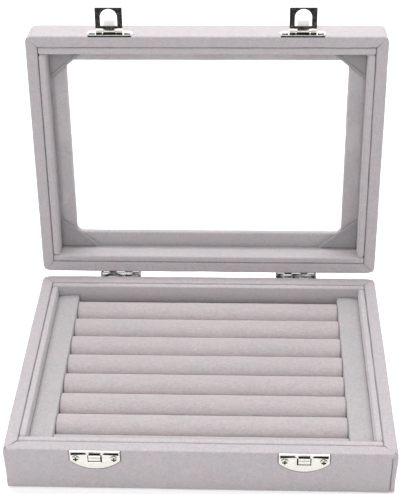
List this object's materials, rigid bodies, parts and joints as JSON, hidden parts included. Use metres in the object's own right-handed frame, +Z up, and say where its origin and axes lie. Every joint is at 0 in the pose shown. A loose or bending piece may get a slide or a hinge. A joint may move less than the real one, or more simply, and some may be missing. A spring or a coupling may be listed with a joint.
{
  "type": "ring display box",
  "caption": "Velvet-covered ring display box with padded ring rolls, a glazed lid that stands open on stop hinges, and chromed flip latches at the front.",
  "frame": {"origin": "centre of the base's underside, on the surface that the box rests on", "axes": "+X along the box's width to its right, +Y to the rear towards the hinges, +Z up; the latches are at -Y"},
  "size_m": [0.2, 0.1866, 0.1944],
  "materials": {
    "velvet": "short pile",
    "foam": "soft",
    "wood": "raw",
    "card": "plain",
    "glass": "clear",
    "chromed_steel": "polished"
  },
  "bodies": {
    "base": {"base_front_board": "wood", "base_rear_board": "wood", "base_left_board": "wood", "base_right_board": "wood", "floor_board": "wood", "base_velvet_cover": "velvet", "bottom_cloth": "velvet", "base_front_liner": "velvet", "base_rear_liner": "velvet", "base_left_liner": "velvet", "base_right_liner": "velvet", "tray_card": "card", "roll_sleeve_1": "velvet", "roll_sleeve_2": "velvet", "roll_sleeve_3": "velvet", "roll_sleeve_4": "velvet", "roll_sleeve_5": "velvet", "roll_sleeve_6": "velvet", "roll_sleeve_7": "velvet", "front_filler_roll": "velvet", "foam_core_1": "foam", "foam_core_2": "foam", "foam_core_3": "foam", "foam_core_4": "foam", "foam_core_5": "foam", "foam_core_6": "foam", "foam_core_7": "foam", "left_side_strip": "velvet", "right_side_strip": "velvet", "left_base_leaf": "chromed_steel", "right_base_leaf": "chromed_steel", "left_hinge_pin": "chromed_steel", "right_hinge_pin": "chromed_steel", "base_leaf_nails": "chromed_steel", "left_keeper_plate": "chromed_steel", "right_keeper_plate": "chromed_steel", "keeper_screws": "chromed_steel"},
    "lid": {"lid_front_board": "wood", "lid_rear_board": "wood", "lid_left_board": "wood", "lid_right_board": "wood", "window_board": "wood", "lid_velvet_cover": "velvet", "window_glass": "glass", "lid_front_liner": "velvet", "lid_rear_liner": "velvet", "lid_left_liner": "velvet", "lid_right_liner": "velvet", "corner_patches": "velvet", "left_lid_leaf": "chromed_steel", "right_lid_leaf": "chromed_steel", "lid_leaf_nails": "chromed_steel", "left_lid_plate": "chromed_steel", "right_lid_plate": "chromed_steel", "lid_plate_screws": "chromed_steel", "left_hasp_pin": "chromed_steel", "right_hasp_pin": "chromed_steel"},
    "left_latch": {"left_hasp": "chromed_steel"},
    "right_latch": {"right_hasp": "chromed_steel"}
  },
  "joints": [
    {"name": "lid_hinge", "type": "hinge", "parent": "base", "child": "lid", "pos_m": [0, 0.0767, 0.02715], "axis": [1, 0, 0], "range_deg": [0, 95]},
    {"name": "left_latch_turn", "type": "hinge", "parent": "lid", "child": "left_latch", "pos_m": [-0.053, 0.0921, 0.18079], "axis": [1, 0, 0], "range_deg": [-90, 90]},
    {"name": "right_latch_turn", "type": "hinge", "parent": "lid", "child": "right_latch", "pos_m": [0.053, 0.0921, 0.18079], "axis": [1, 0, 0], "range_deg": [-90, 90]}
  ]
}
